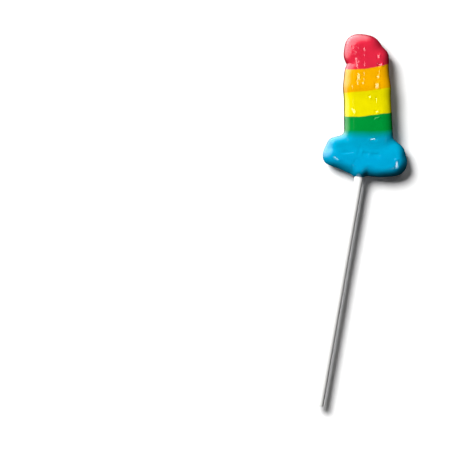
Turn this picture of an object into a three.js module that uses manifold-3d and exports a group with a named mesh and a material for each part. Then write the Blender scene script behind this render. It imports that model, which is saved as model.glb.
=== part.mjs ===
// Gummy lollipop: one moulded sweet poured in five bands of colour, pushed onto a white plastic tube.
// Millimetres. It lies on its flat back at z = 0, head towards +Y, shown side up (+Z).
// The sweet's own frame starts where the tube enters the sole. The exported group is shifted so that
// its origin is the middle of the whole lollipop's footprint.
//
// The sweet's outline is rounded areas that melt into each other, and its shown side rises from the
// outline to a gently crowned top. Rays from a spine inside it find the skin, ring by ring, and each
// band of colour is the closed solid between two pour lines.

import * as THREE from "three";
import { mergeVertices } from "three/addons/utils/BufferGeometryUtils.js";
import Module from "manifold-3d";

// ---- Driving dimensions ----------------------------------------------------------------------

const SHAFT_WIDTH = 25.2;
const BODY_Z = 8.2; // height of the sweet's middle above the table
const BACK_DEPTH = 12; // from that middle down to where the back would end if it weren't flat
const TIP_WIDTH = 19.8;

const STICK_DIAMETER = 4.6;
const STICK_BORE = 2.4;
const STICK_SHOWN = 124; // outside the sweet
const STICK_PUSHED_IN = 20.5;
const STICK_LEAN = 9.9; // degrees from +Y, its free end towards -X
const STICK_ENTRY = [-0.5, 0.3];
const SOCKET_GAP = 0.3; // the jelly stands this far off the tube

// The spine's two ends, at (x, y). Rings are cast square to it between them and fan out past them.
const SPINE_FOOT = { x: 4.2, y: 9.5 };
const SPINE_TIP = { x: 2.4, y: 63 };

// Pour lines, as places along the spine, from the sole to the head. Each band is one solid.
const BANDS = [
  { name: "gummy_blue", to: 22.8, rings: 9, colour: 0x0aa6d8 },
  { name: "gummy_green", to: 32.8, rings: 6, colour: 0x07953f },
  { name: "gummy_yellow", to: 45.9, rings: 7, colour: 0xf0e206 },
  { name: "gummy_orange", to: 57.9, rings: 7, colour: 0xf9b007 },
  { name: "gummy_red", to: SPINE_TIP.y, rings: 4, colour: 0xe52944 },
];
const RAYS = 52; // round each ring
const FAN_RINGS = 13; // from the last ring to a pole, at the sole and at the head
const POUR_TILT = { rise: 0.125, from: 17, to: 44 }; // towards +X, from level at the foot
const POUR_CLIMB = 0.55; // how far a pour line climbs at the sides and sags at the front and back
const POUR_WAVE = 0.2; // and how far it wanders besides
// How far the rays crowd towards the sides: most in the wide foot, least from this share of the spine on.
const CROWDING = { foot: 2.0, shaft: 1.25, until: 0.4 };

// ---- The sweet's form ------------------------------------------------------------------------

// Each area of the outline: its middle, its half sizes, how square it is along x and y (2 is an
// ellipse), its turn about Z in degrees, and how softly it melts into the ones before it. taper is
// how much narrower each half gets for each millimetre along y, and steep is how many times as fast
// as elsewhere its top falls to the outline.
const AREAS = [
  {
    part: "shaft",
    at: [4.2, 31.9],
    half: [SHAFT_WIDTH / 2, 30.6],
    square: [4.2, 9],
    turn: 1.9,
    melt: 0,
    taper: 0.027,
  },
  {
    part: "tip",
    at: [1.3, 66.5],
    half: [TIP_WIDTH / 2, 9.4],
    square: [2.6, 2.5],
    turn: -8,
    melt: 0.5,
    steep: 1.1,
  },
  {
    part: "shoulder", // carries the tip down onto the shaft, with the bulge on its right
    at: [4.7, 59.4],
    half: [9.6, 11],
    square: [3.5, 3.9],
    turn: -16,
    melt: 3.6,
    steep: 1.3,
  },
  {
    part: "crest", // fills the top between the tip and the shoulder
    at: [0.4, 66.6],
    half: [3.2, 6],
    square: [2.1, 2.5],
    turn: 42,
    melt: 4.5,
    steep: 1.2,
  },
  {
    part: "left_foot",
    at: [-6.1, 12.8],
    half: [12.3, 7.9],
    square: [3.5, 3.4],
    turn: -10.5,
    melt: 5.9,
    steep: 1.5,
  },
  {
    part: "right_foot",
    at: [13.8, 9.8],
    half: [10.5, 8.6],
    square: [2.9, 2.6],
    turn: 4.6,
    melt: 4.5,
    steep: 1.4,
  },
  {
    part: "sole", // joins the two feet on the tube's side
    at: [2.2, 7.8],
    half: [15.1, 3.4],
    square: [4.3, 4.3],
    turn: -8,
    melt: 5.9,
    steep: 1.1,
  },
  {
    part: "collar", // jelly drawn down the tube
    at: [0.2, 5.5],
    half: [4, 5.5],
    square: [3, 3],
    turn: -STICK_LEAN,
    melt: 1.5,
    taper: -0.12,
    steep: 2.2,
  },
];

// How the shown side rises, at places along the sweet: the rise from the sweet's middle to its top,
// how far in from the outline the top starts to fall (rim), how late it falls (roll: 2 is round, and
// more has a sharper shoulder), and how upright it ends (drop: 2 is round, and more is more upright).
const STATIONS = [
  { y: 14, rise: 6.4, rim: 5.5, roll: 2.5, drop: 1.4 },
  { y: 25, rise: 8.5, rim: 5.5, roll: 2, drop: 5 },
  { y: 54, rise: 8.5, rim: 5.5, roll: 2, drop: 5 },
  { y: 66, rise: 8.4, rim: 7, roll: 2.5, drop: 1.8 },
];
const CROWN = { height: 0.7, reach: 6 }; // how much the middle of the top stands over its sides
const BACK_EDGE = 0.9; // radius of the edge round the flat back
const SWELL = { y: 47.5, height: 0.5, reach: 4.2 }; // a low ring bulge at the foot of the orange band

const radians = THREE.MathUtils.degToRad;

/** Smallest of two distances, with the corner between them rounded over k. */
function melted(a, b, k) {
  if (k === 0) return Math.min(a, b);
  const near = Math.max(k - Math.abs(a - b), 0) / k;
  return Math.min(a, b) - (near * near * k) / 4;
}

/** About how far a point is outside an area of the outline: under 0 inside it. */
function outsideArea({ at, half, square, turn, taper = 0, steep = 1 }, x, y) {
  const [c, s] = [Math.cos(radians(turn)), Math.sin(radians(turn))];
  const [dx, dy] = [x - at[0], y - at[1]];
  const [across, along] = [dx * c + dy * s, dy * c - dx * s];
  const filled =
    Math.abs(across / (half[0] - taper * along)) ** square[0] + Math.abs(along / half[1]) ** square[1];
  return (filled ** (1 / square[0]) - 1) * Math.min(...half) * steep;
}

/** One value of the stations at a place along the sweet. */
function stationValue(name, y) {
  let value = STATIONS[0][name];
  for (let i = 1; i < STATIONS.length; i++) {
    const [before, after] = [STATIONS[i - 1], STATIONS[i]];
    value += (after[name] - before[name]) * THREE.MathUtils.smoothstep(y, before.y, after.y);
  }
  return value;
}

/** Under 0 inside the sweet. */
function outsideSweet(x, y, z) {
  const swell = SWELL.height * Math.exp(-(((y - SWELL.y) / SWELL.reach) ** 2));
  let plan = outsideArea(AREAS[0], x, y) - swell;
  for (const area of AREAS.slice(1)) plan = melted(plan, outsideArea(area, x, y), area.melt);
  const crown = CROWN.height * (1 - Math.exp(Math.min(plan, 0) / CROWN.reach));
  const depth = z > BODY_Z ? stationValue("rise", y) + swell + crown : BACK_DEPTH;
  const rim = stationValue("rim", y);
  const drop = stationValue("drop", y);
  const filled =
    Math.max(1 + plan / rim, 0) ** stationValue("roll", y) + (Math.abs(z - BODY_Z) / depth) ** drop;
  return -melted((1 - filled ** (1 / drop)) * rim, z, BACK_EDGE);
}

/** The point where a ray from inside the sweet meets its skin. */
function skinPoint(from, way) {
  const at = (reach) => from.clone().addScaledVector(way, reach);
  const isInside = (reach) => {
    const p = at(reach);
    return outsideSweet(p.x, p.y, p.z) < 0;
  };
  const step = 0.5;
  let near = 0;
  while (isInside(near + step)) near += step;
  let far = near + step;
  for (let halving = 0; halving < 24; halving++) {
    const middle = (near + far) / 2;
    if (isInside(middle)) near = middle;
    else far = middle;
  }
  const hit = at(near);
  if (Math.abs(hit.z) < 1e-4) hit.z = 0;
  return hit;
}

/**
 * One ring of skin points. place is where it starts on the spine, and fan is how far its rays turn
 * from square to the spine, from -90 degrees at the sole's pole to 90 at the head's.
 */
function skinRing(place, fan) {
  const share = (place - SPINE_FOOT.y) / (SPINE_TIP.y - SPINE_FOOT.y);
  const x = THREE.MathUtils.lerp(SPINE_FOOT.x, SPINE_TIP.x, share);
  const tilt = POUR_TILT.rise * THREE.MathUtils.smoothstep(place, POUR_TILT.from, POUR_TILT.to);
  const across = new THREE.Vector3(1, tilt, 0).normalize();
  const along = new THREE.Vector3(-tilt, 1, 0).normalize();
  const up = new THREE.Vector3(0, 0, 1);
  const crowding = THREE.MathUtils.lerp(
    CROWDING.foot,
    CROWDING.shaft,
    Math.min(1, share / CROWDING.until),
  );
  const ring = [];
  for (let i = 0; i < RAYS; i++) {
    const turn = (2 * Math.PI * i) / RAYS;
    const climb = POUR_CLIMB * Math.cos(2 * turn) + POUR_WAVE * Math.sin(3 * turn + place / 3);
    const way = new THREE.Vector3()
      .addScaledVector(across, crowding * Math.cos(turn))
      .addScaledVector(up, Math.sin(turn))
      .normalize()
      .multiplyScalar(Math.cos(radians(fan)))
      .addScaledVector(along, Math.sin(radians(fan)));
    ring.push(skinPoint(new THREE.Vector3(x, place + climb * Math.cos(radians(fan)), BODY_Z), way));
  }
  return ring;
}

/** Rings between two pour lines, both included. */
function bandRings(from, to, count) {
  const rings = [];
  for (let i = 0; i <= count; i++)
    rings.push(skinRing(from + ((to - from) * i) / count, 0));
  return rings;
}

/** Rings that close the skin past one end of the spine, from the pole to just before the spine's ring. */
function fanRings(place, way) {
  const rings = [];
  for (let i = 1; i < FAN_RINGS; i++)
    rings.push(skinRing(place, way * 90 * (1 - i / FAN_RINGS)));
  return rings;
}

/** A closed solid from rings in order along +Y, with a pole or a middle point at each end. */
function solidOfRings(rings, low, high) {
  const points = [low, ...rings.flat(), high];
  const at = (ring, i) => 1 + ring * RAYS + (i % RAYS);
  const last = rings.length - 1;
  const faces = [];
  for (let i = 0; i < RAYS; i++) {
    faces.push(0, at(0, i), at(0, i + 1));
    for (let r = 0; r < last; r++) {
      faces.push(at(r, i), at(r + 1, i), at(r + 1, i + 1));
      faces.push(at(r, i), at(r + 1, i + 1), at(r, i + 1));
    }
    faces.push(points.length - 1, at(last, i + 1), at(last, i));
  }
  return new THREE.BufferGeometry().setFromPoints(points).setIndex(faces);
}

/** The middle of a ring, where the fan of faces across it meets. */
function middleOf(ring) {
  const sum = ring.reduce((s, p) => s.add(p), new THREE.Vector3());
  return sum.divideScalar(ring.length);
}

/** The five bands' geometries, from the sole to the head. */
function bandGeometries() {
  let from = SPINE_FOOT.y;
  return BANDS.map((band, i) => {
    const rings = bandRings(from, band.to, band.rings);
    from = band.to;
    let low = middleOf(rings[0]);
    let high = middleOf(rings[rings.length - 1]);
    if (i === 0) {
      rings.unshift(...fanRings(SPINE_FOOT.y, -1));
      low = skinRing(SPINE_FOOT.y, -90)[0];
    }
    if (i === BANDS.length - 1) {
      rings.push(...fanRings(SPINE_TIP.y, 1).reverse());
      high = skinRing(SPINE_TIP.y, 90)[0];
    }
    return solidOfRings(rings, low, high);
  });
}

// ---- The tube --------------------------------------------------------------------------------

/** A tube along +Y from its free end at y = 0, with its lip rounded at both ends. */
function tubeGeometry() {
  const outer = STICK_DIAMETER / 2;
  const inner = STICK_BORE / 2;
  const lip = 0.25;
  const length = STICK_SHOWN + STICK_PUSHED_IN;
  const profile = [
    [inner, lip],
    [inner + lip, 0],
    [outer - lip, 0],
    [outer, lip],
    [outer, length - lip],
    [outer - lip, length],
    [inner + lip, length],
    [inner, length - lip],
    [inner, lip],
  ].map(([r, y]) => new THREE.Vector2(r, y));
  return new THREE.LatheGeometry(profile, 28);
}

/** The hole that the tube sits in, along +Y and open below the sole. */
function socketGeometry() {
  const below = 12;
  const radius = STICK_DIAMETER / 2 + SOCKET_GAP;
  const length = below + STICK_PUSHED_IN + SOCKET_GAP;
  return new THREE.CylinderGeometry(radius, radius, length, 28).translate(0, length / 2 - below, 0);
}

// ---- Cutting the socket ----------------------------------------------------------------------

const wasm = await Module();
wasm.setup();

/** A closed geometry as a solid that can be cut. */
function toSolid(geometry) {
  const bare = geometry.clone();
  bare.deleteAttribute("normal");
  bare.deleteAttribute("uv");
  const merged = mergeVertices(bare, 1e-4);
  return new wasm.Manifold(
    new wasm.Mesh({
      numProp: 3,
      vertProperties: merged.attributes.position.array,
      triVerts: new Uint32Array(merged.index.array),
    }),
  );
}

/** A cut solid as a geometry again. */
function toGeometry(solid) {
  const mesh = solid.getMesh();
  const geometry = new THREE.BufferGeometry();
  geometry.setAttribute("position", new THREE.BufferAttribute(mesh.vertProperties, 3));
  geometry.setIndex(new THREE.BufferAttribute(mesh.triVerts, 1));
  return geometry;
}

// ---- The lollipop ----------------------------------------------------------------------------

const sweet = new THREE.Group();

// The tube's line: +Y turned by the lean, through the entry.
const stickLine = new THREE.Group();
stickLine.position.set(STICK_ENTRY[0], STICK_ENTRY[1], BODY_Z);
stickLine.rotation.z = -radians(STICK_LEAN);
stickLine.updateMatrix();
sweet.add(stickLine);

const stick = new THREE.Mesh(
  tubeGeometry(),
  new THREE.MeshStandardMaterial({ color: 0xf3f3f1, roughness: 0.4, metalness: 0 }),
);
stick.name = "stick";
stick.position.y = -STICK_SHOWN;
stickLine.add(stick);

const geometries = bandGeometries();
const socket = toSolid(socketGeometry().applyMatrix4(stickLine.matrix));
geometries[0] = toGeometry(toSolid(geometries[0]).subtract(socket));

BANDS.forEach((band, i) => {
  const material = new THREE.MeshStandardMaterial({
    color: band.colour,
    roughness: 0.25,
    metalness: 0,
  });
  const mesh = new THREE.Mesh(geometries[i], material);
  mesh.name = band.name;
  sweet.add(mesh);
});

const footprint = new THREE.Box3().setFromObject(sweet, true).getCenter(new THREE.Vector3());
sweet.position.set(-footprint.x, -footprint.y, 0);

const lollipop = new THREE.Group();
lollipop.add(sweet);

export default lollipop;
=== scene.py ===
"""A gummy lollipop: one moulded sweet poured in five colours, on a white plastic tube.

The classes work in millimetres in the sweet's own frame, which starts where the tube enters the sole, with
+Y towards the head and +Z out of the shown side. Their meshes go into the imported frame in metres.
"""

import logging
import math
from collections.abc import Mapping, Sequence
from dataclasses import dataclass
from enum import Enum

import bpy
import numpy as np
from mathutils import Matrix, Vector


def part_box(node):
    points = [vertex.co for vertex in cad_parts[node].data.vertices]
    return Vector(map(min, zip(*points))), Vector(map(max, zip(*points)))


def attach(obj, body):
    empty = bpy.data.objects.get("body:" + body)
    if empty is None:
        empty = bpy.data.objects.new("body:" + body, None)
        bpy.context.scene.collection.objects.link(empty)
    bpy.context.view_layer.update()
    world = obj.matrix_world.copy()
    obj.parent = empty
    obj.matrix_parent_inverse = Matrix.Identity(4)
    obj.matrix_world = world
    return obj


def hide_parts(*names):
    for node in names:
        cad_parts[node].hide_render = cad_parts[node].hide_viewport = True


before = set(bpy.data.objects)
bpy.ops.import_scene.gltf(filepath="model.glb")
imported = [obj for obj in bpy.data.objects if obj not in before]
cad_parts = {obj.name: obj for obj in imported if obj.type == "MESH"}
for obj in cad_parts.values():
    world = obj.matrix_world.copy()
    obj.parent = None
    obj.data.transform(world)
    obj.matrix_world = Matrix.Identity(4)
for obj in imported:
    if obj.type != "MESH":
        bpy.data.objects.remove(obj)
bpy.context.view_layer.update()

LOG = logging.getLogger("lollipop")
MM = 0.001
BODY = "root"
WHITE = (1.0, 1.0, 1.0, 1.0)

BODY_Z = 8.2  # height of the sweet's middle above the table
TOP_Z = 2 * BODY_Z  # about that of its shown side
POUR = "pour"  # the skin's attribute: how far up the pour a point lies, in mm
SWEET_NODES = ("gummy_blue", "gummy_green", "gummy_yellow", "gummy_orange", "gummy_red")

Point = tuple[float, float, float]
Face = tuple[int, ...]
Tree = bpy.types.NodeTree
Socket = bpy.types.NodeSocket
Setting = float | str | bool | Sequence[float] | Socket

# Where the photograph, which is FRAME_PIXELS square, shows the start of the sweet's own frame.
FRAME_PIXELS = 452
START_PIXEL = (360.0, 177.0)
MM_PER_PIXEL = 0.532
LENS = 300.0  # mm, long enough to see the sweet almost square on
SENSOR = 36.0  # mm

# The middles of the panels that the gloss shows, in mm in the sweet's own frame.
RUNS_LIGHT: Point = (-95, 69, 318)
RIGHT_LIGHT: Point = (225, -225, 310)
LOW_LIGHT: Point = (-187, -185, 310)
SOLE_LIGHT: Point = (120, -248, 310)

EDGE_POWER = 8  # how sharply a glint's edge is cut
LEAST_FACING = 0.1  # the least that the skin counts as facing a glint's way, so that no height runs away

# A Mix node's sockets for colours, which share their names with those for numbers.
MIX_SHARE, MIX_FIRST, MIX_SECOND, MIX_RESULT = 0, 6, 7, 2


# ---- Small tools -----------------------------------------------------------------------------------------


def linear(colour: str) -> tuple[float, float, float, float]:
    """Turn an sRGB hex colour into linear light.

    Args:
        colour: six hex digits after a #.

    Returns:
        Red, green, blue and an alpha of 1.
    """
    shares = [int(colour[i : i + 2], 16) / 255 for i in (1, 3, 5)]
    light = [s / 12.92 if s <= 0.04045 else ((s + 0.055) / 1.055) ** 2.4 for s in shares]
    return (*light, 1.0)


def add_node(
    tree: Tree,
    kind: str,
    settings: Mapping[str, Setting] | None = None,
    inputs: Mapping[str | int, Setting] | None = None,
) -> bpy.types.Node:
    """Add a shader node with its settings and links.

    Args:
        tree: the node tree that it goes into.
        kind: its type name.
        settings: its properties by name.
        inputs: its inputs by name or number, each a value or a socket to link from.

    Returns:
        The new node.
    """
    node = tree.nodes.new(kind)
    for name, value in (settings or {}).items():
        setattr(node, name, value)
    for name, value in (inputs or {}).items():
        if isinstance(value, Socket):
            tree.links.new(value, node.inputs[name])
        else:
            node.inputs[name].default_value = value
    return node


def add_noise(tree: Tree, place: Socket, size: float, detail: float) -> Socket:
    """Add a noise with grains of about size, in mm, and give its value."""
    inputs = {"Vector": place, "Scale": 1 / (size * MM), "Detail": detail}
    return add_node(tree, "ShaderNodeTexNoise", None, inputs).outputs["Fac"]


def add_bump(tree: Tree, height: Socket, depth: float) -> Socket:
    """Add a bump of the depth, in mm, and give its normal."""
    inputs = {"Height": height, "Strength": 1.0, "Distance": depth * MM}
    return add_node(tree, "ShaderNodeBump", None, inputs).outputs["Normal"]


def add_maths(tree: Tree, operation: str, *values: Setting) -> Socket:
    """Add a node that works the operation out on the values, and give its result."""
    return add_node(tree, "ShaderNodeMath", {"operation": operation}, dict(enumerate(values))).outputs[0]


def add_background(tree: Tree, strength: Setting) -> Socket:
    """Add a white background of the strength, and give its light."""
    inputs = {"Color": WHITE, "Strength": strength}
    return add_node(tree, "ShaderNodeBackground", None, inputs).outputs["Background"]


def new_material(name: str) -> bpy.types.Material:
    """Make a material with an empty node tree."""
    material = bpy.data.materials.new(name)
    material.use_nodes = True
    material.node_tree.nodes.clear()
    return material


def smoothstep(value: np.ndarray | float, low: float, high: float) -> np.ndarray:
    """Rise smoothly from 0 at low to 1 at high."""
    share = np.clip((value - low) / (high - low), 0, 1)
    return share * share * (3 - 2 * share)


def mesh_object(name: str, points: np.ndarray, faces: Sequence[Sequence[int]]) -> bpy.types.Object:
    """Make a smooth-shaded mesh object.

    Args:
        name: the piece's name.
        points: its vertices in millimetres, in the sweet's own frame.
        faces: the vertices of each face.

    Returns:
        The object, in the scene, with its place in its mesh.
    """
    mesh = bpy.data.meshes.new(name)
    mesh.from_pydata(((points + SHIFT) * MM).tolist(), [], faces)
    mesh.validate()
    mesh.shade_smooth()
    piece = bpy.data.objects.new(name, mesh)
    bpy.context.scene.collection.objects.link(piece)
    return piece


def camera_place() -> np.ndarray:
    """Give the camera's place, in millimetres in the sweet's own frame: over the photograph's middle."""
    middle = FRAME_PIXELS / 2
    aside, along = (middle - START_PIXEL[0]) * MM_PER_PIXEL, (START_PIXEL[1] - middle) * MM_PER_PIXEL
    return np.array((aside, along, BODY_Z + FRAME_PIXELS * MM_PER_PIXEL * LENS / SENSOR))


# ---- The tube --------------------------------------------------------------------------------------------


@dataclass(frozen=True)
class SatinTubeFinish:
    """Polypropylene, extruded white: satin, faintly see-through, with die lines along it."""

    colour: str = "#f6f6f3"
    roughness: float = 0.38
    ior: float = 1.49
    line_spacing: float = 0.45  # mm round the tube; true die lines are finer than the render shows
    line_stretch: float = 40.0  # how many times as long as wide they are
    line_depth: float = 0.01  # mm
    glow: float = 0.4
    glow_depth: float = 0.8  # mm that light travels in the wall

    def material(self, lean: float) -> bpy.types.Material:
        """Make the material.

        Args:
            lean: the tube's turn about Z, in degrees, which the die lines follow.

        Returns:
            The tube's material.
        """
        material = new_material("polypropylene_extruded_white")
        tree = material.node_tree
        place = add_node(tree, "ShaderNodeTexCoord").outputs["Object"]
        along = add_node(
            tree,
            "ShaderNodeMapping",
            {"vector_type": "TEXTURE"},
            {
                "Vector": place,
                "Rotation": (0, 0, math.radians(-lean)),
                "Scale": (1, self.line_stretch, 1),
            },
        )
        lines = add_noise(tree, along.outputs["Vector"], self.line_spacing, detail=2.0)
        normal = add_bump(tree, lines, self.line_depth)
        shader = add_node(
            tree,
            "ShaderNodeBsdfPrincipled",
            None,
            {
                "Base Color": linear(self.colour),
                "Roughness": self.roughness,
                "IOR": self.ior,
                "Subsurface Weight": self.glow,
                "Subsurface Radius": (1.0, 1.0, 1.0),
                "Subsurface Scale": self.glow_depth * MM,
                "Normal": normal,
            },
        )
        add_node(tree, "ShaderNodeOutputMaterial", None, {"Surface": shader.outputs["BSDF"]})
        return material


@dataclass
class StickTube:
    """The white plastic tube that holds the sweet."""

    diameter: float = 4.6
    bore: float = 2.4
    shown: float = 124.0  # its length outside the sweet
    pushed_in: float = 20.5
    lean: float = 9.9  # degrees from +Y, its free end towards -X
    entry: tuple[float, float] = (-0.5, 0.3)
    lip: float = 0.25  # radius of its ends' edges
    lip_steps: int = 4
    sides: int = 96

    def placing(self) -> Matrix:
        """Give the matrix from the tube's own line, +Y from the entry, to the sweet's frame."""
        return Matrix.Translation((*self.entry, BODY_Z)) @ Matrix.Rotation(-math.radians(self.lean), 4, "Z")

    def middle(self) -> Vector:
        """Give the middle of the tube's length in the sweet's frame."""
        return self.placing() @ Vector((0, (self.pushed_in - self.shown) / 2, 0))

    def lathe(self, profile: Sequence[tuple[float, float]], closed: bool) -> tuple[np.ndarray, list[Face]]:
        """Turn a profile round the tube's line.

        Args:
            profile: the radius and the place along the line of each corner.
            closed: whether the last corner joins the first one. If not, both ends are capped.

        Returns:
            The points in the sweet's frame, and the faces.
        """
        turns = np.arange(self.sides) * 2 * math.pi / self.sides
        radius, along = np.array(profile).T
        across, up = radius[:, None] * np.cos(turns), -radius[:, None] * np.sin(turns)
        ring = np.stack(np.broadcast_arrays(across, along[:, None], up), axis=-1).reshape(-1, 3)
        matrix = np.array(self.placing())
        points = ring @ matrix[:3, :3].T + matrix[:3, 3]
        last = len(profile) if closed else len(profile) - 1
        faces: list[Face] = []
        for row in range(last):
            here, there = row * self.sides, (row + 1) % len(profile) * self.sides
            for side in range(self.sides):
                after = (side + 1) % self.sides
                faces.append((here + side, here + after, there + after, there + side))
        if not closed:
            faces.append(tuple(reversed(range(self.sides))))
            faces.append(tuple(last * self.sides + side for side in range(self.sides)))
        return points, faces

    def profile(self) -> list[tuple[float, float]]:
        """Give the wall's closed section, from inside the free end's lip."""
        inner, outer = self.bore / 2, self.diameter / 2
        low, high = -self.shown, self.pushed_in
        corners: list[tuple[float, float]] = []
        for radius, end, start in ((inner, low, 180), (outer, low, 270), (outer, high, 0), (inner, high, 90)):
            into = self.lip if end == low else -self.lip
            centre = radius + (self.lip if radius == inner else -self.lip)
            for part in range(self.lip_steps + 1):
                angle = math.radians(start + 90 * part / self.lip_steps)
                corners.append((centre + self.lip * math.cos(angle), end + into + self.lip * math.sin(angle)))
        return corners

    def build(self) -> bpy.types.Object:
        """Make the tube's piece and put it on the frame."""
        piece = mesh_object("stick_tube", *self.lathe(self.profile(), closed=True))
        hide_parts("stick")
        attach(piece, BODY)
        return piece

    def plug(self, clearance: float) -> bpy.types.Object:
        """Make the solid that cuts the tube's seat into the sweet.

        Args:
            clearance: how far the seat stands off the tube.

        Returns:
            A temporary object.
        """
        radius = self.diameter / 2 + clearance
        ends = [(radius, -self.pushed_in), (radius, self.pushed_in + clearance)]
        return mesh_object("seat_cutter", *self.lathe(ends, closed=False))

    def dress(self, piece: bpy.types.Object) -> None:
        """Give the tube its finish."""
        piece.data.materials.append(SatinTubeFinish().material(self.lean))


TUBE = StickTube()


def frame_shift() -> np.ndarray:
    """Find where the sweet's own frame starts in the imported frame, in millimetres, from the tube's node."""
    low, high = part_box("stick")
    middle = (low + high) / 2 / MM
    start = middle - TUBE.middle()
    return np.array((start.x, start.y, 0.0))


SHIFT = frame_shift()


# ---- The sweet -------------------------------------------------------------------------------------------


@dataclass(frozen=True)
class Lobe:
    """A rounded area of the sweet's outline, which melts into the ones before it."""

    at: tuple[float, float]
    half: tuple[float, float]
    square: tuple[float, float]  # along x and y: 2 is an ellipse, and more is squarer
    turn: float = 0.0  # degrees about Z
    melt: float = 0.0
    taper: float = 0.0  # how much narrower each half gets, for each mm along y
    steep: float = 1.0  # how many times as fast as elsewhere its top falls to the outline

    def outside(self, points: np.ndarray) -> np.ndarray:
        """Give about how far each point is outside the lobe, under 0 inside it."""
        turn = math.radians(self.turn)
        dx, dy = points[:, 0] - self.at[0], points[:, 1] - self.at[1]
        across, along = dx * math.cos(turn) + dy * math.sin(turn), dy * math.cos(turn) - dx * math.sin(turn)
        width, length = self.half
        filled = np.abs(across / (width - self.taper * along)) ** self.square[0]
        filled += np.abs(along / length) ** self.square[1]
        return (filled ** (1 / self.square[0]) - 1) * min(self.half) * self.steep


@dataclass(frozen=True)
class Station:
    """How the shown side rises from the outline at one place along the sweet."""

    y: float
    rise: float  # from the sweet's middle to its top
    rim: float  # how far in from the outline the top starts to fall
    roll: float  # how late it falls: 2 is round, and more has a sharper shoulder
    drop: float  # how upright it ends: 2 is round, and more is more upright


class Meeting(Enum):
    """How one pour met the next, as the width of the border in millimetres."""

    SET = 0.35  # the lower colour had set, so the border is clean
    WARM = 4.4  # both were still warm, so that the colours ran together


@dataclass(frozen=True)
class Band:
    """One pour of colour."""

    top: float  # its upper pour line, in mm along the spine
    colour: str
    meeting: Meeting = Meeting.SET
    painted_light_top: str | None = None  # its colour at its top, where that differs: painted light, lighter there to offset the shade of the slope that faces away from the key light


@dataclass(frozen=True)
class Glint:
    """A small flat in the shown side's skin, which throws a panel's light at the camera."""

    at: tuple[float, float]
    half: tuple[float, float]
    turn: float = 0.0  # degrees about Z
    light: Point = RUNS_LIGHT

    def rise(self) -> np.ndarray:
        """Give how much the flat has to rise for each mm along x and y, to face half way to its light."""
        place = np.array((*self.at, TOP_Z))
        to_light, to_camera = np.array(self.light) - place, camera_place() - place
        half_way = to_light / np.linalg.norm(to_light) + to_camera / np.linalg.norm(to_camera)
        return -half_way[:2] / half_way[2]

    def flattened(self, points: np.ndarray, normals: np.ndarray, relief: np.ndarray) -> np.ndarray:
        """Work the flat into the skin's relief.

        Args:
            points: the points of the skin.
            normals: the way out of the skin at each of them.
            relief: the height that the rest of the relief adds at each of them.

        Returns:
            The heights with the flat's own where it lies, which even out the skin's curve.
        """
        turn = math.radians(self.turn)
        offset = points[:, :2] - self.at
        across = (offset @ (math.cos(turn), math.sin(turn))) / self.half[0]
        along = (offset @ (-math.sin(turn), math.cos(turn))) / self.half[1]
        share = np.exp(-(across**EDGE_POWER) - along**EDGE_POWER) * (points[:, 2] > BODY_Z)
        rise = self.rise()
        over = offset @ rise - points[:, 2]
        facing = np.maximum(normals[:, 2] - normals[:, :2] @ rise, LEAST_FACING)
        height = (over - share @ over / share.sum()) / facing
        return relief * (1 - share) + height * share


@dataclass(frozen=True)
class Crease:
    """A fine fold in the shown side's skin, with a steep wall on one side and a gentle one on the other.

    Its depth comes in over its first third and goes out over its last.
    """

    start: tuple[float, float]
    end: tuple[float, float]
    depth: float
    left: float  # width of its wall on the left, seen from its start
    right: float

    def relief(self, points: np.ndarray) -> np.ndarray:
        """Give the height that the crease adds at each point."""
        way = np.subtract(self.end, self.start)
        length = float(np.linalg.norm(way))
        way /= length
        dx, dy = points[:, 0] - self.start[0], points[:, 1] - self.start[1]
        along, aside = dx * way[0] + dy * way[1], dy * way[0] - dx * way[1]
        wall = np.where(aside > 0, self.left, self.right)
        third = length / 3
        ends = smoothstep(along, 0, third) * (1 - smoothstep(along, 2 * third, length))
        return -self.depth * ends * np.exp(-((aside / wall) ** 2))


@dataclass(frozen=True)
class Ripple:
    """Gentle unevenness all over the skin."""

    wavelength: float
    height: float
    seed: int
    waves: int = 9
    spread: tuple[float, float] = (0.75, 1.35)  # of the waves' lengths, as shares of the wavelength

    def relief(self, points: np.ndarray) -> np.ndarray:
        """Give the height that the ripple adds at each point."""
        draw = np.random.default_rng(self.seed)
        ways = draw.normal(size=(self.waves, 3))
        ways /= np.linalg.norm(ways, axis=1)[:, None]
        scale = 2 * math.pi / (self.wavelength * draw.uniform(*self.spread, self.waves))
        phase = draw.uniform(0, 2 * math.pi, self.waves)
        total = sum(np.sin(points @ way * s + p) for way, s, p in zip(ways, scale, phase))
        return self.height * total / math.sqrt(self.waves)


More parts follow.
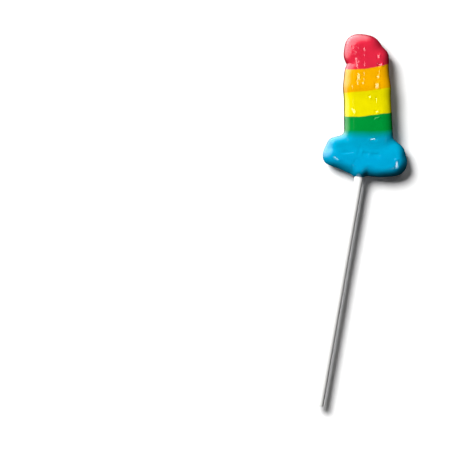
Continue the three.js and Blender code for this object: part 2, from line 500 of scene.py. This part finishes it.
@dataclass(frozen=True)
class PouredJellyFinish:
    """Gelatine jelly, poured in colours and oiled: deep even colour, soft inside, under a wet gloss."""

    bands: tuple[Band, ...]
    length: float  # of the sweet in mm, which the bands' colours are spread over
    roughness: float = 0.45
    ior: float = 1.45
    oil_roughness: float = 0.14
    oil_ior: float = 1.5
    glow: float = 0.2
    glow_depth: float = 1.2  # mm that light travels in the jelly
    cloud_size: float = 7.0  # mm, of the faint clouds in each colour
    cloud_share: float = 0.07  # how much the darkest of them take away
    cloud_range: tuple[float, float] = (0.3, 0.7)  # of the noise, that they are spread over
    stray: float = 0.5  # mm that a border strays
    stray_size: float = 3.5  # mm
    dimple_size: float = 1.6  # mm
    dimple_depth: float = 0.007  # mm

    def stops(self) -> list[tuple[float, str]]:
        """Give the colour ramp's places, in mm, and colours."""
        stops = [(0.0, self.bands[0].colour)]
        for lower, upper in zip(self.bands, self.bands[1:]):
            half = lower.meeting.value / 2
            # a band's top takes its painted light colour where it has one
            stops += [(lower.top - half, lower.painted_light_top or lower.colour), (lower.top + half, upper.colour)]
        return stops

    def material(self) -> bpy.types.Material:
        """Make the material."""
        material = new_material("gelatine_jelly_poured_oiled")
        tree = material.node_tree
        place = add_node(tree, "ShaderNodeTexCoord").outputs["Object"]
        pour = add_node(tree, "ShaderNodeAttribute", {"attribute_name": POUR}).outputs["Fac"]
        wander = add_noise(tree, place, self.stray_size, detail=1.0)
        strayed = add_maths(tree, "MULTIPLY_ADD", wander, self.stray, pour)
        centred = add_maths(tree, "SUBTRACT", strayed, self.stray / 2)
        share = add_maths(tree, "DIVIDE", centred, self.length)
        ramp = add_node(tree, "ShaderNodeValToRGB", None, {"Fac": share})
        stops = self.stops()
        while len(ramp.color_ramp.elements) < len(stops):
            ramp.color_ramp.elements.new(1.0)
        for element, (at, colour) in zip(ramp.color_ramp.elements, stops):
            element.position = at / self.length
            element.color = linear(colour)
        shade = add_node(
            tree,
            "ShaderNodeMapRange",
            None,
            {
                "Value": add_noise(tree, place, self.cloud_size, detail=2.0),
                "From Min": self.cloud_range[0],
                "From Max": self.cloud_range[1],
                "To Min": 1 - self.cloud_share,
                "To Max": 1.0,
            },
        )
        colour = add_node(
            tree,
            "ShaderNodeMix",
            {"data_type": "RGBA", "blend_type": "MULTIPLY"},
            {MIX_SHARE: 1.0, MIX_FIRST: ramp.outputs["Color"], MIX_SECOND: shade.outputs["Result"]},
        )
        normal = add_bump(tree, add_noise(tree, place, self.dimple_size, detail=1.0), self.dimple_depth)
        shader = add_node(
            tree,
            "ShaderNodeBsdfPrincipled",
            None,
            {
                "Base Color": colour.outputs[MIX_RESULT],
                "Roughness": self.roughness,
                "IOR": self.ior,
                "Specular IOR Level": 0.0,
                "Subsurface Weight": self.glow,
                "Subsurface Radius": (1.0, 1.0, 1.0),
                "Subsurface Scale": self.glow_depth * MM,
                "Coat Weight": 1.0,
                "Coat Roughness": self.oil_roughness,
                "Coat IOR": self.oil_ior,
                "Normal": normal,
                "Coat Normal": normal,
            },
        )
        add_node(tree, "ShaderNodeOutputMaterial", None, {"Surface": shader.outputs["BSDF"]})
        return material


@dataclass
class GummySweet:
    """The moulded sweet: a two-lobed foot, a banded shaft and a rounded tip, fused in one skin."""

    shaft_width: float = 25.2
    back_depth: float = 12.0  # from the sweet's middle down to where its back would end if it weren't flat
    crown: float = 0.7  # how much the middle of the top stands over its sides
    crown_reach: float = 6.0
    tip_width: float = 19.8
    back_edge: float = 0.9  # radius of the edge round the flat back
    swell_at: float = 47.5
    swell_height: float = 0.5
    swell_reach: float = 4.2
    foot_end: tuple[float, float] = (4.2, 9.5)  # the spine's ends, at (x, y)
    tip_end: tuple[float, float] = (2.4, 63.0)
    tilt_rise: float = 0.125  # of a pour line towards +X
    tilt_from: float = 17.0
    tilt_to: float = 44.0
    climb: float = 0.55  # how far a pour line climbs at the sides
    wave: float = 0.2  # height of its waves
    wave_count: int = 3  # of them, round the sweet
    wave_run: float = 3.0  # mm along the sweet for each radian that they turn by
    crowding_foot: float = 2.0  # of the rays towards the sides
    crowding_shaft: float = 1.25
    crowding_until: float = 0.4
    rays: int = 272
    rays_above: int = 208  # of them, how many go to the shown side, where the relief is
    ring_step: float = 0.3
    fan_rings: int = 56
    seat_clearance: float = 0.03
    table_snap: float = 0.001  # points under this height lie on the table
    relief_fade: tuple[float, float] = (1.5, 5.0)  # heights over the table between which relief comes in
    crease_fade: tuple[float, float] = (-3.0, 1.0)  # the same for creases, but over the sweet's middle

    stations: tuple[Station, ...] = (
        Station(14, 6.4, 5.5, 2.5, 1.4),
        Station(25, 8.5, 5.5, 2.0, 5.0),
        Station(54, 8.5, 5.5, 2.0, 5.0),
        Station(66, 8.4, 7.0, 2.5, 1.8),
    )
    bands: tuple[Band, ...] = (
        # the blue is painted lighter towards its top: painted light against the shade where the skin slopes
        # down towards the foot, away from the key light
        Band(22.8, "#0096c8", Meeting.WARM, painted_light_top="#00a8ce"),
        Band(32.8, "#008c34"),
        Band(45.9, "#e1d500"),
        Band(57.9, "#e8a700"),
        Band(76.0, "#d52640"),
    )

    def lobes(self) -> list[Lobe]:
        """Give the areas of the outline, the shaft first."""
        # at, half, square, turn, melt, taper and steep
        return [
            Lobe((4.2, 31.9), (self.shaft_width / 2, 30.6), (4.2, 9), 1.9, 0, 0.027),
            Lobe((1.3, 66.5), (self.tip_width / 2, 9.4), (2.6, 2.5), -8, 0.5, 0, 1.1),
            Lobe((4.7, 59.4), (9.6, 11.0), (3.5, 3.9), -16, 3.6, 0, 1.3),
            Lobe((0.4, 66.6), (3.2, 6.0), (2.1, 2.5), 42, 4.5, 0, 1.2),
            Lobe((-6.1, 12.8), (12.3, 7.9), (3.5, 3.4), -10.5, 5.9, 0, 1.5),
            Lobe((13.8, 9.8), (10.5, 8.6), (2.9, 2.6), 4.6, 4.5, 0, 1.4),
            Lobe((2.2, 7.8), (15.1, 3.4), (4.3, 4.3), -8, 5.9, 0, 1.1),
            Lobe((0.2, 5.5), (4.0, 5.5), (3.0, 3.0), -TUBE.lean, 3.5, -0.12, 1.7),
        ]

    def glints(self) -> list[Glint]:
        """Give the flats of the shown side, from the head down."""
        return [*self.bubble_glints(), *self.run_glints(), *self.bead_glints(), *self.foot_glints()]

    def bubble_glints(self) -> list[Glint]:
        """Give the tiny ones of the head, where bubbles set under the oil."""
        return [
            Glint((-4.4, 69.3), (0.6, 0.75)),
            Glint((-2.7, 69.2), (0.65, 0.75)),
            Glint((-1.3, 68.3), (0.6, 0.65)),
            Glint((-0.9, 70.0), (0.55, 0.6)),
            Glint((-3.7, 67.2), (0.6, 0.6)),
            Glint((-2.5, 66.0), (0.5, 0.65)),
            Glint((-4.6, 65.4), (0.5, 0.6)),
        ]

    def run_glints(self) -> list[Glint]:
        """Give the long thin ones, where the jelly ran down the middle."""
        return [
            Glint((-2.1, 60.3), (0.75, 3.6), 8),
            Glint((-1.1, 52.9), (1.1, 2.6), -4),
            Glint((-1.6, 49.6), (0.65, 1.3), -20),
            Glint((2.0, 67.3), (0.55, 1.6)),
            Glint((1.9, 64.0), (0.35, 1.5)),
            Glint((2.0, 59.8), (0.5, 1.8)),
            Glint((1.9, 54.5), (0.35, 1.7)),
            Glint((1.7, 51.6), (0.45, 1.4)),
            Glint((1.3, 49.6), (0.8, 1.1)),
        ]

    def bead_glints(self) -> list[Glint]:
        """Give the spots, most of them down the right."""
        return [
            Glint((9.5, 63.7), (1.1, 1.3)),
            Glint((10.5, 59.4), (1.6, 1.0), 15),
            Glint((9.8, 55.6), (0.45, 1.7), -15),
            Glint((9.3, 53.0), (1.1, 1.2)),
            Glint((8.7, 48.2), (1.5, 2.0)),
            Glint((5.0, 42.3), (0.8, 1.1), 20),
            Glint((8.4, 40.4), (0.6, 1.8)),
            Glint((-3.7, 35.2), (0.8, 2.1), 35),
            Glint((8.7, 34.4), (1.2, 0.8)),
            Glint((8.6, 31.2), (1.9, 0.6), 8),
        ]

    def foot_glints(self) -> list[Glint]:
        """Give those of the foot, which show the other panels."""
        return [
            Glint((6.5, 19.9), (2.1, 0.8), 0, SOLE_LIGHT),
            Glint((19.2, 6.7), (1.1, 2.7), 0, RIGHT_LIGHT),
            Glint((-12.6, 9.7), (2.2, 0.8), -31, LOW_LIGHT),
        ]

    def creases(self) -> list[Crease]:
        """Give the fold across the foot and the seams that run from it."""
        # start, end, depth, left and right
        return [
            Crease((-11.2, 12.5), (-2.6, 13.1), 0.3, 1.4, 0.45),
            Crease((0.6, 13.2), (5.4, 12.1), 0.28, 0.65, 1.5),
            Crease((4.2, 12.3), (11.5, 11.6), 0.28, 0.65, 1.5),
            Crease((0.0, 18.0), (-1.8, 10.0), 0.12, 1.0, 0.4),
            Crease((-1.6, 10.6), (-4.4, 6.0), 0.12, 1.0, 0.4),
            Crease((-4.1, 7.4), (-4.2, 3.6), 0.16, 0.4, 0.8),
        ]

    def ripples(self) -> list[Ripple]:
        """Give the unevenness all over."""
        return [Ripple(9.0, 0.03, seed=11), Ripple(3.6, 0.006, seed=12)]

    @staticmethod
    def melted(one: np.ndarray, other: np.ndarray, melt: float) -> np.ndarray:
        """Give the smaller of two distances, with the corner between them rounded over melt."""
        near = np.maximum(melt - np.abs(one - other), 0) / melt
        return np.minimum(one, other) - near * near * melt / 4

    def plan(self, points: np.ndarray) -> np.ndarray:
        """Give about how far each point is outside the outline, under 0 inside it."""
        shaft, *others = self.lobes()
        distance = shaft.outside(points) - self.swell(points)
        for lobe in others:
            distance = self.melted(distance, lobe.outside(points), lobe.melt)
        return distance

    def swell(self, points: np.ndarray) -> np.ndarray:
        """Give how far the low ring bulge stands out at each point."""
        return self.swell_height * np.exp(-(((points[:, 1] - self.swell_at) / self.swell_reach) ** 2))

    def section(self, y: np.ndarray) -> list[np.ndarray]:
        """Give the rise, rim, roll and drop at each place along the sweet."""
        values = []
        for name in ("rise", "rim", "roll", "drop"):
            value = np.full_like(y, getattr(self.stations[0], name))
            for before, after in zip(self.stations, self.stations[1:]):
                change = getattr(after, name) - getattr(before, name)
                value += change * smoothstep(y, before.y, after.y)
            values.append(value)
        return values

    def outside(self, points: np.ndarray) -> np.ndarray:
        """Give about how far each point is outside the sweet, under 0 inside it."""
        plan = self.plan(points)
        rise, rim, roll, drop = self.section(points[:, 1])
        top = rise + self.swell(points) + self.crown * (1 - np.exp(np.minimum(plan, 0) / self.crown_reach))
        up = points[:, 2] - BODY_Z
        depth = np.where(up > 0, top, self.back_depth)
        filled = np.clip(1 + plan / rim, 0, None) ** roll + (np.abs(up) / depth) ** drop
        distance = (filled ** (1 / drop) - 1) * rim
        return -self.melted(-distance, points[:, 2], self.back_edge)

    def skin_points(self, origins: np.ndarray, ways: np.ndarray) -> np.ndarray:
        """Find where rays from inside the sweet meet its skin.

        Args:
            origins: where each ray starts.
            ways: its direction, of length 1.

        Returns:
            A point of the skin for each ray.
        """
        step, halvings = 1.0, 22
        near = np.zeros(len(origins))
        going = np.arange(len(origins))
        while len(going):
            ahead = origins[going] + ways[going] * (near[going] + step)[:, None]
            going = going[self.outside(ahead) < 0]
            near[going] += step
        far = near + step
        for _ in range(halvings):
            middle = (near + far) / 2
            inside = self.outside(origins + ways * middle[:, None]) < 0
            near = np.where(inside, middle, near)
            far = np.where(inside, far, middle)
        return origins + ways * near[:, None]

    def normals(self, points: np.ndarray) -> np.ndarray:
        """Give the way out of the skin at each point."""
        steps = 0.02 * np.eye(3)
        changes = [self.outside(points + step) - self.outside(points - step) for step in steps]
        slope = np.stack(changes, axis=1)
        return slope / np.linalg.norm(slope, axis=1)[:, None]

    def rays_of(self, place: float, fan: float) -> tuple[np.ndarray, np.ndarray]:
        """Cast one ring of rays.

        Args:
            place: where the ring starts on the spine, in mm.
            fan: how far its rays turn from square to the spine, in degrees.

        Returns:
            The rays' origins and ways.
        """
        share = (place - self.foot_end[1]) / (self.tip_end[1] - self.foot_end[1])
        x = self.foot_end[0] + (self.tip_end[0] - self.foot_end[0]) * share
        tilt = self.tilt_rise * float(smoothstep(place, self.tilt_from, self.tilt_to))
        across = np.array((1, tilt, 0)) / math.hypot(1, tilt)
        along = np.array((-tilt, 1, 0)) / math.hypot(1, tilt)
        spread = min(1.0, share / self.crowding_until)
        crowding = self.crowding_foot + (self.crowding_shaft - self.crowding_foot) * spread
        above = np.linspace(0, math.pi, self.rays_above, endpoint=False)
        below = np.linspace(math.pi, 2 * math.pi, self.rays - self.rays_above, endpoint=False)
        turns = np.concatenate([above, below])[:, None]
        climb = self.climb * np.cos(2 * turns)
        climb += self.wave * np.sin(self.wave_count * turns + place / self.wave_run)
        square = crowding * np.cos(turns) * across + np.sin(turns) * np.array((0, 0, 1))
        square /= np.linalg.norm(square, axis=1)[:, None]
        open_by = math.radians(fan)
        ways = square * math.cos(open_by) + along * math.sin(open_by)
        starts = np.concatenate(
            [np.full_like(climb, x), place + climb * math.cos(open_by), np.full_like(climb, BODY_Z)], axis=1
        )
        return starts, ways

    def ring_list(self) -> list[tuple[float, float]]:
        """Give the place and the fan of each ring, from the sole to the head."""
        foot, tip = self.foot_end[1], self.tip_end[1]
        count = round((tip - foot) / self.ring_step)
        opening = [90 * (1 - i / self.fan_rings) for i in range(1, self.fan_rings)]
        sole = [(foot, -fan) for fan in opening]
        spine = [(foot + (tip - foot) * i / count, 0.0) for i in range(count + 1)]
        return [*sole, *spine, *((tip, fan) for fan in reversed(opening))]

    def relief(self, points: np.ndarray, normals: np.ndarray) -> np.ndarray:
        """Give the height of the fine relief at each point of the skin, along its normal."""
        low, high = self.crease_fade
        shown = smoothstep(points[:, 2], BODY_Z + low, BODY_Z + high)
        total = sum(ripple.relief(points) for ripple in self.ripples())
        total = total + sum(crease.relief(points) for crease in self.creases()) * shown
        for glint in self.glints():
            total = glint.flattened(points, normals, total)
        return total * smoothstep(points[:, 2], *self.relief_fade)

    def skin(self) -> tuple[np.ndarray, np.ndarray, list[Face]]:
        """Make the whole skin.

        Returns:
            Its points, how far up the pour each lies, and its faces.
        """
        rings = self.ring_list()
        poles = [self.rays_of(self.foot_end[1], -90), self.rays_of(self.tip_end[1], 90)]
        cast = [self.rays_of(place, fan) for place, fan in rings]
        origins = np.concatenate([poles[0][0][:1], *(c[0] for c in cast), poles[1][0][:1]])
        ways = np.concatenate([poles[0][1][:1], *(c[1] for c in cast), poles[1][1][:1]])
        points = self.skin_points(origins, ways)
        normals = self.normals(points)
        points += normals * self.relief(points, normals)[:, None]
        points[:, 2] = np.where(points[:, 2] < self.table_snap, 0, points[:, 2])
        pour = np.repeat([place for place, _ in rings], self.rays)
        pour = np.concatenate([[self.foot_end[1]], pour, [self.tip_end[1]]])
        return points, pour, self.skin_faces(len(rings))

    def skin_faces(self, rings: int) -> list[Face]:
        """Join the rings and the two poles with faces."""
        faces: list[Face] = []
        last = 1 + rings * self.rays
        for side in range(self.rays):
            after = (side + 1) % self.rays
            faces.append((0, 1 + side, 1 + after))
            for ring in range(rings - 1):
                here, there = 1 + ring * self.rays, 1 + (ring + 1) * self.rays
                faces.append((here + side, there + side, there + after, here + after))
            faces.append((last, last - self.rays + after, last - self.rays + side))
        return faces

    def build(self) -> bpy.types.Object:
        """Make the sweet's piece, cut the tube's seat and put it on the frame."""
        points, pour, faces = self.skin()
        piece = mesh_object("gummy_sweet", points, faces)
        attribute = piece.data.attributes.new(POUR, "FLOAT", "POINT")
        attribute.data.foreach_set("value", pour.astype(np.float32))
        self.cut_seat(piece)
        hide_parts(*SWEET_NODES)
        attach(piece, BODY)
        return piece

    def cut_seat(self, piece: bpy.types.Object) -> None:
        """Cut the hole that the tube sits in."""
        cutter = TUBE.plug(self.seat_clearance)
        cut = piece.modifiers.new("seat", "BOOLEAN")
        cut.operation = "DIFFERENCE"
        cut.solver = "MANIFOLD"
        cut.object = cutter
        graph = bpy.context.evaluated_depsgraph_get()
        mesh = bpy.data.meshes.new_from_object(piece.evaluated_get(graph))
        piece.modifiers.remove(cut)
        piece.data = mesh
        bpy.data.objects.remove(cutter)

    def dress(self, piece: bpy.types.Object) -> None:
        """Give the sweet its finish."""
        piece.data.materials.clear()
        piece.data.materials.append(PouredJellyFinish(self.bands, self.bands[-1].top).material())


# ---- The studio ------------------------------------------------------------------------------------------


@dataclass(frozen=True)
class Panel:
    """A light panel that shows only as a reflection in glossy skin."""

    name: str
    at: Point  # mm in the sweet's frame
    size: tuple[float, float]  # mm, square to the sweet's length and along it
    radiance: float
    aim: Point = (4.0, 50.0, 10.0)  # inside the shaft

    def build(self) -> bpy.types.Object:
        """Make the panel's lamp, which faces the sweet."""
        lamp = bpy.data.lights.new(self.name, "AREA")
        lamp.shape = "RECTANGLE"
        lamp.size, lamp.size_y = self.size[0] * MM, self.size[1] * MM
        lamp.energy = self.radiance * math.pi * lamp.size * lamp.size_y
        panel = bpy.data.objects.new(self.name, lamp)
        place = Vector((np.array(self.at) + SHIFT) * MM)
        target = Vector((np.array(self.aim) + SHIFT) * MM)
        back = (place - target).normalized()
        right = Vector((0, 1, 0)).cross(back).normalized()
        turned = Matrix((right, back.cross(right), back)).transposed().to_4x4()
        panel.matrix_world = Matrix.Translation(place) @ turned
        panel.visible_camera = False
        panel.visible_diffuse = False
        panel.visible_transmission = False
        bpy.context.scene.collection.objects.link(panel)
        return panel


def direction(azimuth: float, elevation: float) -> Vector:
    """Give the direction of a light, from its azimuth and elevation in degrees."""
    turn, rise = math.radians(azimuth), math.radians(elevation)
    return Vector((math.cos(rise) * math.cos(turn), math.cos(rise) * math.sin(turn), math.sin(rise)))


@dataclass(frozen=True)
class FarLight:
    """A soft light that is too far to fall off, and that the gloss doesn't show."""

    name: str
    azimuth: float  # degrees from +X
    elevation: float  # degrees
    width: float  # how wide it looks, in degrees
    strength: float  # its light on a surface that faces it

    def build(self) -> None:
        """Hang the light."""
        lamp = bpy.data.lights.new(self.name, "SUN")
        lamp.energy = self.strength
        lamp.angle = math.radians(self.width)
        sun = bpy.data.objects.new(self.name, lamp)
        sun.rotation_mode = "QUATERNION"
        sun.rotation_quaternion = (-direction(self.azimuth, self.elevation)).to_track_quat("-Z", "Y")
        sun.visible_glossy = False
        bpy.context.scene.collection.objects.link(sun)


@dataclass
class Studio:
    """The pale floor, the soft light and the camera."""

    floor_half: float = 3.0  # m
    floor_colour: str = "#f7f7f7"
    clip: tuple[float, float] = (0.05, 20.0)  # m from the camera
    sky: float = 0.04
    wash_azimuth: float = 130.0  # degrees, of the middle of the wash of light that only the gloss shows
    wash_elevation: float = -6.0  # degrees
    wash_radiance: float = 4.5
    wash_edges: tuple[float, float] = (0.35, 0.88)  # cosines from its middle, where it is out and full

    far_lights: tuple[FarLight, ...] = (
        FarLight("key", 135.0, 54.0, 25.0, 4.45),  # from the upper left
        FarLight("far_side", 80.0, 9.0, 40.0, 1.1),  # fills the far side in
        FarLight("left_side", 178.0, 5.0, 40.0, 1.1),  # stands in for the floor's light on the left
    )
    panels: tuple[Panel, ...] = (
        Panel("runs_panel", RUNS_LIGHT, (28, 28), 12.0),
        Panel("right_panel", RIGHT_LIGHT, (28, 28), 26.0),
        Panel("low_panel", LOW_LIGHT, (24, 24), 24.0),
        Panel("sole_panel", SOLE_LIGHT, (22, 22), 36.0),
        Panel("left_panel", (-400, 230, 170), (300, 300), 0.4),
    )

    def build_floor(self) -> None:
        """Lay the floor."""
        half = self.floor_half
        corners = [(-half, -half, 0), (half, -half, 0), (half, half, 0), (-half, half, 0)]
        mesh = bpy.data.meshes.new("floor")
        mesh.from_pydata(corners, [], [(0, 1, 2, 3)])
        floor = bpy.data.objects.new("floor", mesh)
        material = new_material("paper_matt_white")
        tree = material.node_tree
        shader = add_node(tree, "ShaderNodeBsdfDiffuse", None, {"Color": linear(self.floor_colour)})
        add_node(tree, "ShaderNodeOutputMaterial", None, {"Surface": shader.outputs["BSDF"]})
        mesh.materials.append(material)
        floor.visible_diffuse = False
        floor.visible_glossy = False
        bpy.context.scene.collection.objects.link(floor)

    def build_sky(self) -> None:
        """Fill in from all round, wash the gloss with light, and show white behind the floor."""
        world = bpy.data.worlds.new("studio")
        world.use_nodes = True
        tree = world.node_tree
        tree.nodes.clear()
        way = add_node(tree, "ShaderNodeTexCoord").outputs["Generated"]
        middle = direction(self.wash_azimuth, self.wash_elevation)
        towards = add_node(tree, "ShaderNodeVectorMath", {"operation": "DOT_PRODUCT"}, {0: way, 1: middle})
        wash = add_node(
            tree,
            "ShaderNodeMapRange",
            {"interpolation_type": "SMOOTHSTEP"},
            {
                "Value": towards.outputs["Value"],
                "From Min": self.wash_edges[0],
                "From Max": self.wash_edges[1],
                "To Max": self.wash_radiance,
            },
        )
        gloss = add_background(tree, wash.outputs["Result"])
        seen = add_background(tree, 1.0)
        path = add_node(tree, "ShaderNodeLightPath")
        light = add_background(tree, self.sky)
        for ray, shown in (("Is Glossy Ray", gloss), ("Is Camera Ray", seen)):
            mix = {0: path.outputs[ray], 1: light, 2: shown}
            light = add_node(tree, "ShaderNodeMixShader", None, mix).outputs["Shader"]
        add_node(tree, "ShaderNodeOutputWorld", None, {"Surface": light})
        bpy.context.scene.world = world

    def build_camera(self) -> None:
        """Hang the camera over the photograph's middle, looking straight down with +Y up the picture."""
        data = bpy.data.cameras.new("camera")
        data.lens, data.sensor_width = LENS, SENSOR
        data.clip_start, data.clip_end = self.clip
        camera = bpy.data.objects.new("camera", data)
        camera.location = Vector((camera_place() + SHIFT) * MM)
        bpy.context.scene.collection.objects.link(camera)
        bpy.context.scene.camera = camera

    def build(self) -> None:
        """Build the whole studio."""
        self.build_floor()
        for light in self.far_lights:
            light.build()
        self.build_sky()
        for panel in self.panels:
            panel.build()
        self.build_camera()
        settings = bpy.context.scene.view_settings
        settings.view_transform = "Standard"
        settings.look = "None"


def report(piece: bpy.types.Object) -> None:
    """Log a finished piece and its size."""
    size = " x ".join(f"{side / MM:.1f}" for side in piece.dimensions)
    LOG.info("%s: %s mm, %d faces", piece.name, size, len(piece.data.polygons))


def main() -> None:
    """Build the studio and the lollipop, and note the sizes."""
    logging.basicConfig(level=logging.INFO, format="%(name)s: %(message)s")
    Studio().build()
    for part in (TUBE, GummySweet()):
        piece = part.build()
        part.dress(piece)
        report(piece)


if __name__ == "__main__":
    main()
